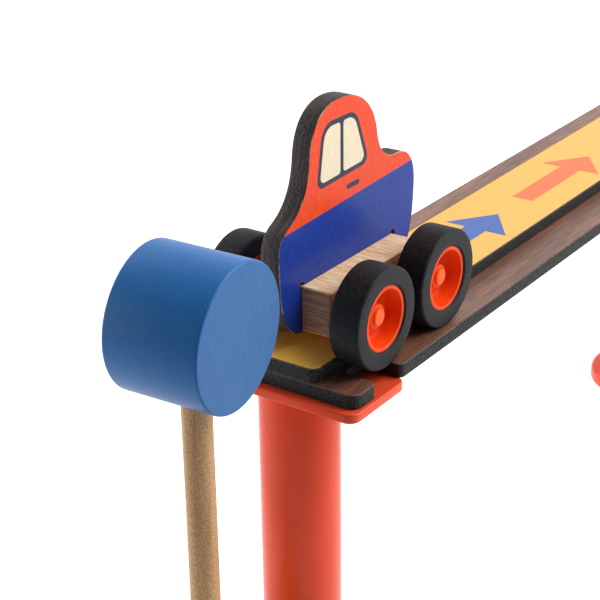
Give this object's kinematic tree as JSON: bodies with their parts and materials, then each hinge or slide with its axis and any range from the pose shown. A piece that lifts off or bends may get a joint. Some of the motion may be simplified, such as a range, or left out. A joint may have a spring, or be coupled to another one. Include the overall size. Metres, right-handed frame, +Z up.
{
  "type": "toy car on a track with a strike hammer",
  "caption": "Wooden toy car parked at the start of a straight plywood track on plastic pillars, with a pivoting wooden hammer that knocks it along.",
  "frame": {"origin": "on the floor, at the middle of the near pillar's foot", "axes": "+Z up, +Y along the track the way the car is driven, +X to the car's right"},
  "size_m": [0.0602, 0.3775, 0.1961],
  "materials": {
    "dark_plywood": "brown-faced plywood, laser cut, satin varnish",
    "yellow_plywood": "plywood with a printed yellow face, laser cut",
    "orange_plastic": "moulded, satin gloss",
    "painted_plywood": "printed orange over blue, laser-cut dark edge",
    "pale_wood": "sawn and sanded, bare",
    "steel_rod": "drawn rod",
    "orange_hub": "moulded, glossy",
    "black_rubber": "moulded, matte",
    "blue_painted_wood": "turned and painted, satin"
  },
  "bodies": {
    "stand": {"track_base": "dark_plywood", "track_strip": "yellow_plywood", "near_pillar_cap": "orange_plastic", "near_pillar_tube": "orange_plastic", "near_pillar_foot": "orange_plastic", "far_pillar_cap": "orange_plastic", "far_pillar_tube": "orange_plastic", "far_pillar_foot": "orange_plastic", "hammer_base": "pale_wood", "hammer_pin": "steel_rod"},
    "car": {"car_plate_left": "painted_plywood", "car_plate_right": "painted_plywood", "car_chassis": "pale_wood"},
    "rear_wheelset": {"rear_axle": "steel_rod", "rear_left_hub": "orange_hub", "rear_left_tyre": "black_rubber", "rear_left_cap": "orange_hub", "rear_right_hub": "orange_hub", "rear_right_tyre": "black_rubber", "rear_right_cap": "orange_hub"},
    "front_wheelset": {"front_axle": "steel_rod", "front_left_hub": "orange_hub", "front_left_tyre": "black_rubber", "front_left_cap": "orange_hub", "front_right_hub": "orange_hub", "front_right_tyre": "black_rubber", "front_right_cap": "orange_hub"},
    "hammer": {"hammer_head": "blue_painted_wood", "hammer_handle": "pale_wood"}
  },
  "joints": [
    {"name": "car_travel", "type": "slide", "parent": "stand", "child": "car", "axis": [0, 1, 0], "range_m": [0, 0.2]},
    {"name": "rear_wheels_roll", "type": "hinge", "parent": "car", "child": "rear_wheelset", "pos_m": [0, 0.005, 0.1396], "axis": [-1, 0, 0], "range_deg": [0, 765]},
    {"name": "front_wheels_roll", "type": "hinge", "parent": "car", "child": "front_wheelset", "pos_m": [0, 0.0384, 0.1396], "axis": [-1, 0, 0], "range_deg": [0, 765]},
    {"name": "hammer_swing", "type": "hinge", "parent": "stand", "child": "hammer", "pos_m": [0, -0.0467, 0.014], "axis": [-1, 0, 0], "range_deg": [-70, 5.2]}
  ],
  "couplings": [
    {"joint": "rear_wheels_roll", "follows": "car_travel", "rad_per_m": 66.667},
    {"joint": "front_wheels_roll", "follows": "car_travel", "rad_per_m": 66.667}
  ]
}
